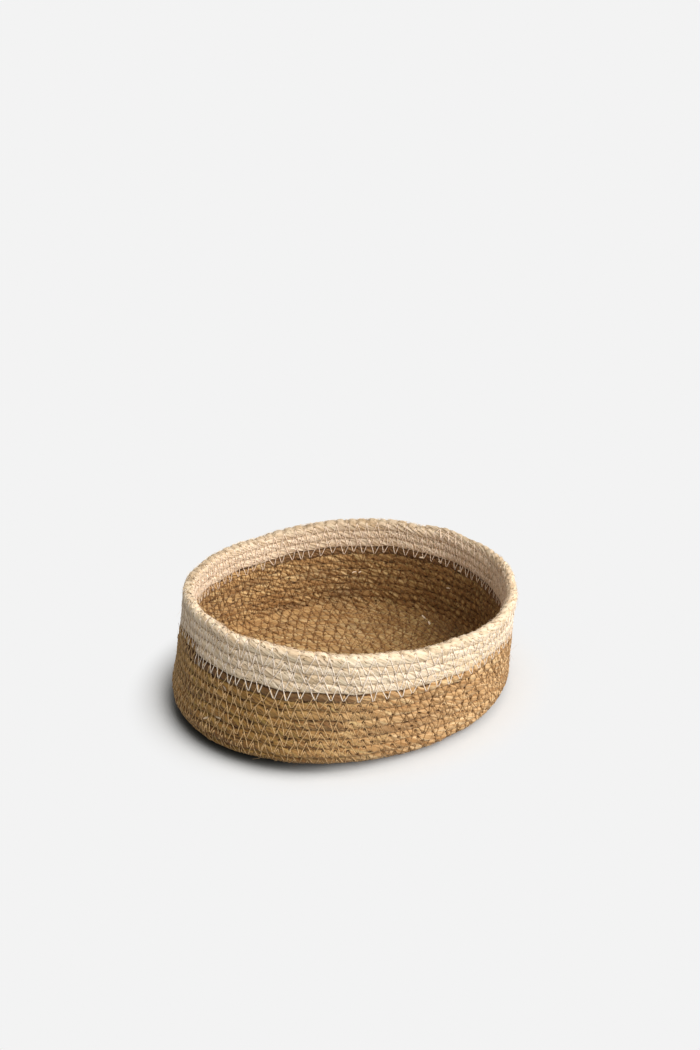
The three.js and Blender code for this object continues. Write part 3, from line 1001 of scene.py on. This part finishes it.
class Recipe:
    """The nodes of a material or of the world, being written."""

    def __init__(self, owner):
        self.owner = owner
        owner.use_nodes = True
        self.tree = owner.node_tree
        self.tree.nodes.clear()

    def node(self, kind, settings=None, inputs=None):
        made = self.tree.nodes.new(kind)
        for name, value in (settings or {}).items():
            setattr(made, name, value)
        for name, value in (inputs or {}).items():
            socket = made.inputs[name]
            if isinstance(value, Value):
                value = value.socket
            if isinstance(value, bpy.types.NodeSocket):
                self.tree.links.new(value, socket)
            else:
                socket.default_value = value
        return made

    def math(self, operation, a, b, clamp=False):
        settings = {"operation": operation, "use_clamp": clamp}
        return Value(self, self.node("ShaderNodeMath", settings, {0: a, 1: b}).outputs[0])

    def attribute(self, name, output):
        made = self.node("ShaderNodeAttribute", {"attribute_name": name})
        return made.outputs[output]

    def stretch(self, vector, by):
        made = self.node("ShaderNodeVectorMath", {"operation": "MULTIPLY"}, {0: vector, 1: by})
        return made.outputs[0]

    def noise(self, vector, scale=1.0, detail=2.0, roughness=0.5):
        inputs = {"Vector": vector, "Scale": scale, "Detail": detail, "Roughness": roughness}
        return Value(self, self.node("ShaderNodeTexNoise", None, inputs).outputs[0])

    def mix(self, factor, a, b, blend="MIX"):
        """A colour between two colours. Sockets 6 and 7 are the colours of this node."""
        settings = {"data_type": "RGBA", "blend_type": blend}
        made = self.node("ShaderNodeMix", settings, {0: factor, 6: a, 7: b})
        return made.outputs[2]

    def blend(self, factor, first, second):
        """A shader between two shaders, given and returned as nodes."""
        inputs = {0: factor, 1: first.outputs[0], 2: second.outputs[0]}
        return self.node("ShaderNodeMixShader", None, inputs)

    def finish(self, color, roughness, height, depth, **constants):
        """Ends the recipe in a Principled shader with a bump of the given depth in metres."""
        bump = self.node("ShaderNodeBump", None, {"Height": height, "Distance": depth})
        inputs = {"Base Color": color, "Roughness": roughness, "Normal": bump.outputs[0]}
        inputs.update(constants)
        shader = self.node("ShaderNodeBsdfPrincipled", None, inputs)
        self.node("ShaderNodeOutputMaterial", None, {"Surface": shader.outputs[0]})
        return self.owner


def linear(red, green, blue):
    """A colour as a picture shows it, 0 to 255, as the linear colour that a socket takes."""
    parts = [v / 255 for v in (red, green, blue)]
    return (*[v / 12.92 if v <= 0.04045 else ((v + 0.055) / 1.055) ** 2.4 for v in parts], 1.0)


# %% [markdown]
# On the real rope every leaf has its own tone, with fine veins along it. Where leaves meet and
# where the thread cuts in, the rope is painted darker as painted shade. The attribute "straight"
# holds each point's place on the rope as if it had been untwisted and pulled straight, so noise
# stretched along it runs along the leaves. "deep" holds the painted shade, from valleys to
# crests, and the darker tan of husks. "tone" changes slowly from one bunch of leaves to the next,
# and also brings painted shade to the base and under the rim. "inside" marks the inner face, which
# takes painted shade. "dim" is painted shade too: it marks the end away from the light, the
# inner wall that faces away from it and the top of the rim, which are painted darker, greener and
# more speckled.


# %% Rush
def rush(name, shades, shade_and_speck_color, streaks, painted_shade_weight, vein_depth):
    dark, middle, light, aged_and_shaded, green, inner_shade = [linear(*shade) for shade in shades]
    recipe = Recipe(bpy.data.materials.new(name))
    straight = recipe.attribute("straight", "Vector")
    deep = Value(recipe, recipe.attribute("deep", "Fac"))
    tone = Value(recipe, recipe.attribute("tone", "Fac"))
    leaf = recipe.noise(recipe.stretch(straight, (16, 420, 420)), detail=2.0, roughness=0.6)
    strip = recipe.noise(recipe.stretch(straight, (65, 1200, 1200)), detail=2.0, roughness=0.6)
    vein = recipe.noise(recipe.stretch(straight, (60, 2600, 2600)), detail=3.0, roughness=0.65)
    blotch = recipe.noise(recipe.stretch(straight, (140, 420, 420)), detail=3.0)
    fleck = recipe.noise(recipe.stretch(straight, (330, 900, 900)), detail=1.0)
    inside = Value(recipe, recipe.attribute("inside", "Fac"))
    dim = Value(recipe, recipe.attribute("dim", "Fac"))
    color = recipe.mix(leaf.from_to(0.34, 0.52), dark, middle)
    color = recipe.mix(leaf.from_to(0.5, 0.66), color, light)
    greenish = blotch.from_to(0.52, 0.4) * leaf.from_to(0.4, 0.6) * (0.2 + 0.6 * dim)
    color = recipe.mix(greenish, color, green)
    color = recipe.mix(strip.from_to(0.55, 0.66) * streaks, color, dark)
    color = recipe.mix(strip.from_to(0.45, 0.34) * 0.4, color, light)
    # Painted shade on the base, painted shadow under the rim and random darker bunches, from
    # "tone".
    color = recipe.mix(tone.from_to(-0.2, -1.0) * 0.85, color, aged_and_shaded, "MULTIPLY")
    color = recipe.mix(tone.from_to(0.1, 1.0) * 0.3, color, light)
    color = recipe.mix(blotch.from_to(0.6, 0.74) * 0.4, color, dark)
    color = recipe.mix(vein.from_to(0.54, 0.7) * 0.35, color, dark)
    # Painted shade on the inner face.
    color = recipe.mix(inside * 0.9, color, inner_shade, "MULTIPLY")
    # Painted shade on the side away from the light and on the top of the rim.
    color = recipe.mix(dim * painted_shade_weight, color, linear(197, 185, 140), "MULTIPLY")
    # Dark specks, with more of them in that painted shade.
    color = recipe.mix(fleck.from_to(0.6, 0.68) * (0.45 + 0.5 * dim), color, linear(*shade_and_speck_color))
    # Painted shade from "deep", and the darker tan of the outer husks.
    color = recipe.mix(deep.from_to(0.3, 1.0) * 0.8, color, linear(*shade_and_speck_color))
    roughness = (0.58 + 0.3 * vein).held()
    height = (0.5 * vein + 0.5 * strip + 0.3 * blotch).held()
    constants = {"Specular IOR Level": 0.35, "Sheen Weight": 0.12, "Sheen Roughness": 0.5}
    return recipe.finish(color, roughness, height, vein_depth, **constants)


# The aged shade also paints shade on the base and shadow under the rim; the inside one is painted
# shade on the inner face.
NATURAL_SHADES = (  # dark, middle, light, aged, green and inside
    (168, 122, 72), (204, 160, 108), (234, 199, 150),
    (158, 146, 144), (172, 148, 84), (235, 234, 220),
)
PALE_SHADES = (
    (214, 187, 150), (241, 218, 187), (250, 233, 206),
    (240, 230, 210), (226, 209, 175), (242, 238, 236),
)
natural_rush = rush("natural_rush", NATURAL_SHADES, (84, 52, 22), 0.5, 1.0, 0.00045)
pale_rush = rush("pale_rush", PALE_SHADES, (146, 120, 88), 0.5, 0.0, 0.0004)
print("nodes in each rush finish", len(natural_rush.node_tree.nodes))


# %% [markdown]
# Sewing thread is two plies twisted together. The twist is too fine to model, so a wave
# across the untwisted coordinates makes the plies, as bump and as a faint change of tone. The tan
# thread is painted browner towards the end that faces the light: painted shade for the small
# shadows it lies in there.


# %% Thread
def thread(name, shade, shadow, fuzz, lit_side_shade=(255, 255, 255)):
    recipe = Recipe(bpy.data.materials.new(name))
    straight = recipe.attribute("straight", "Vector")
    settings = {"wave_type": "BANDS", "bands_direction": "DIAGONAL"}
    inputs = {"Vector": recipe.stretch(straight, (1.0, 1.2, 1.2)), "Scale": 900.0}
    ply = Value(recipe, recipe.node("ShaderNodeTexWave", settings, inputs).outputs[1])
    wear = recipe.noise(recipe.stretch(straight, (90, 90, 90)), detail=2.0)
    dim = Value(recipe, recipe.attribute("dim", "Fac"))
    color = recipe.mix((0.55 * ply + 0.4 * wear).held(), linear(*shadow), linear(*shade))
    # Painted shade: the thread is browner towards the lit end.
    color = recipe.mix(1.0 - dim, color, linear(*lit_side_shade), "MULTIPLY")
    roughness = (0.5 + 0.25 * wear).held()
    # Cotton has a fuzz, so a thread is pale on its sides too.
    constants = {"Specular IOR Level": 0.4, "Sheen Weight": fuzz, "Sheen Roughness": 0.5}
    constants["Sheen Tint"] = linear(255, 240, 222)
    return recipe.finish(color, roughness, ply, 0.00003, **constants)


tan_thread = thread("tan_thread", (234, 198, 144), (204, 164, 112), 0.1, lit_side_shade=(186, 168, 146))
brown_thread = thread("brown_thread", (164, 118, 68), (120, 80, 42), 0.0)
white_thread = thread("white_thread", (255, 243, 228), (252, 234, 214), 0.2)
cream_thread = thread("cream_thread", (255, 236, 214), (248, 222, 196), 0.1)
print("nodes in each thread finish", len(tan_thread.node_tree.nodes))


# %% [markdown]
# Each piece is then given its finish. In the photograph the threads inside are browner than the
# ones outside, so each of the four threads has its own.


# %% Dress the pieces
def dress(pieces, material):
    for piece in pieces:
        piece.data.materials.clear()
        piece.data.materials.append(material)


dress(base_rope + wall_rope + [natural_fibres], natural_rush)
dress(rim_rope + [pale_fibres, crown_fibres, husks], pale_rush)
for piece, finish in zip(threads.values(), (tan_thread, brown_thread, white_thread, cream_thread)):
    dress([piece], finish)
    print(piece.name, "is dressed in", finish.name)

# %% [markdown]
# The basket stands on a pale sweep. Near the basket the floor is plain matt card, so it takes the
# shadow, and in the narrow crevice under the basket's left side the card is painted darker, a
# painted shadow, as it is in the photograph. Away from the basket the floor glows to the camera in
# the same pale grey, so the background is even. Other rays find a duller card, which keeps the side
# away from the light dark.

# %% Floor
FLOOR_SIZE = 14.0
half = FLOOR_SIZE / 2
floor_corners = [(-half, -half, 0), (half, -half, 0), (half, half, 0), (-half, half, 0)]
floor_mesh = bpy.data.meshes.new("floor")
floor_mesh.from_pydata(floor_corners, [], [(0, 1, 2, 3)])
floor = bpy.data.objects.new("floor", floor_mesh)
bpy.context.scene.collection.objects.link(floor)
print("floor, metres", FLOOR_SIZE)

# %% The floor's finish
CARD = (0.755, 0.755, 0.75, 1.0)
# Painted shadow colour for the crevice under the basket.
PAINTED_CREVICE_SHADOW = (0.05, 0.05, 0.045, 1.0)
BOUNCE = (0.17, 0.16, 0.14, 1.0)
BACKGROUND = linear(243, 243, 243)
CREVICE_REACH = 0.026  # how near the basket has to be for the card to darken
SHELTER_REACH = 0.03  # and for the card to stay plain under it
CARD_HALF_SIZE = (0.135, 0.105)  # of the oval of plain card


def background_rays(recipe):
    """1 for the rays that show the background: to the camera, in a mirror or through glass."""
    paths = recipe.node("ShaderNodeLightPath")
    rays = ("Is Camera Ray", "Is Glossy Ray", "Is Transmission Ray")
    return sum(Value(recipe, paths.outputs[ray]) for ray in rays).held()


def openness(recipe, reach):
    """1 where nothing stands within this reach, and less near the basket."""
    made = recipe.node("ShaderNodeAmbientOcclusion", {"samples": 8}, {"Distance": reach})
    return Value(recipe, made.outputs["AO"])


ground = Recipe(bpy.data.materials.new("floor"))
place = ground.node("ShaderNodeTexCoord").outputs["Object"]
sideways = Value(ground, ground.node("ShaderNodeSeparateXYZ", None, {0: place}).outputs["X"])
# Painted shadow: the card darkens where the basket is near, less so on the lit side.
near = openness(ground, CREVICE_REACH).from_to(0.4, 0.92)
near = (near + sideways.from_to(-0.085, 0.025) * 0.8).held()
span = ground.stretch(place, (1 / CARD_HALF_SIZE[0], 1 / CARD_HALF_SIZE[1], 1.0))
far = ground.node("ShaderNodeVectorMath", {"operation": "LENGTH"}, {0: span})
far = Value(ground, far.outputs["Value"]).from_to(0.9, 1.22)
far = far * openness(ground, SHELTER_REACH).from_to(0.3, 0.8)
card = ground.node("ShaderNodeBsdfDiffuse", None, {"Color": ground.mix(near, PAINTED_CREVICE_SHADOW, CARD)})
glow = ground.node("ShaderNodeEmission", None, {"Color": BACKGROUND, "Strength": 1.0})
bounce = ground.node("ShaderNodeBsdfDiffuse", None, {"Color": BOUNCE})
look = ground.blend(far, card, glow)
look = ground.blend(background_rays(ground), bounce, look)
ground.node("ShaderNodeOutputMaterial", None, {"Surface": look.outputs[0]})
dress([floor], ground.owner)
print("nodes in the floor's finish", len(ground.tree.nodes))

# %% [markdown]
# One broad soft sun stands for a large window on the right, and an even sky fills the shadows. The
# floor's grey goes on beyond the floor, so there is no horizon from any side.

# %% Light
SKY_COLOR = (1.0, 0.985, 0.955, 1.0)
SKY_STRENGTH = 0.46
SUN_STRENGTH = 3.75
SUN_AZIMUTH = math.radians(47)  # from the viewer's side, towards the right
SUN_ELEVATION = math.radians(41)
SUN_WIDTH = math.radians(60)

air = Recipe(bpy.data.worlds.new("studio"))
bpy.context.scene.world = air.owner
sky = air.node("ShaderNodeBackground", None, {"Color": SKY_COLOR, "Strength": SKY_STRENGTH})
backdrop = air.node("ShaderNodeBackground", None, {"Color": BACKGROUND, "Strength": 1.0})
look = air.blend(background_rays(air), sky, backdrop)
air.node("ShaderNodeOutputWorld", None, {"Surface": look.outputs[0]})

sun_light = bpy.data.lights.new("sun", "SUN")
sun_light.energy = SUN_STRENGTH
sun_light.angle = SUN_WIDTH
sun = bpy.data.objects.new("sun", sun_light)
bpy.context.scene.collection.objects.link(sun)


def towards(azimuth, elevation):
    """The direction to a place round the basket, from the basket."""
    level = math.cos(elevation)
    return Vector((math.sin(azimuth) * level, -math.cos(azimuth) * level, math.sin(elevation)))


sun.rotation_mode = "QUATERNION"
sun.rotation_quaternion = towards(SUN_AZIMUTH, SUN_ELEVATION).to_track_quat("Z", "Y")
print("sun", sun_light.energy, "sky", SKY_STRENGTH)

# %% [markdown]
# The camera stands where the photograph was taken from. Its place comes from the basket's own
# outline: the point at the middle of the wall is seen at a known spot of the picture.

# %% Camera
PICTURE_WIDTH, PICTURE_HEIGHT = 700, 1050
FOCAL_PIXELS = 1500
AIM_PIXEL = (350.4, 632.3)
AIM_POINT = (0.00403, 0.00003, 0.04426)
CAMERA_DISTANCE = 1.0883
CAMERA_ELEVATION = math.radians(35.05)
CAMERA_AZIMUTH = math.radians(-14.05)

camera_data = bpy.data.cameras.new("camera")
camera = bpy.data.objects.new("camera", camera_data)
bpy.context.scene.collection.objects.link(camera)
bpy.context.scene.camera = camera
camera_data.sensor_width = 36.0
camera_data.lens = FOCAL_PIXELS * camera_data.sensor_width / PICTURE_HEIGHT
camera_data.clip_end = 50.0
back = towards(CAMERA_AZIMUTH, CAMERA_ELEVATION)
camera.location = Vector(AIM_POINT) + back * CAMERA_DISTANCE
# The direction to the aim point, in the camera's own axes: right, up and ahead.
aim = Vector(
    (
        (AIM_PIXEL[0] - PICTURE_WIDTH / 2) / FOCAL_PIXELS,
        (PICTURE_HEIGHT / 2 - AIM_PIXEL[1]) / FOCAL_PIXELS,
        1.0,
    )
).normalized()
pitch = math.asin(-back.z / math.hypot(aim.y, aim.z)) - math.atan2(aim.y, aim.z)
level_ahead = aim.z * math.cos(pitch) - aim.y * math.sin(pitch)
heading = math.atan2(-back.x, -back.y) - math.atan2(aim.x, level_ahead)
camera.rotation_mode = "XYZ"
camera.rotation_euler = (math.pi / 2 + pitch, 0, -heading)
bpy.context.scene.view_settings.view_transform = "Standard"
print("lens, mm", round(camera_data.lens, 2), "at", [round(v, 3) for v in camera.location])
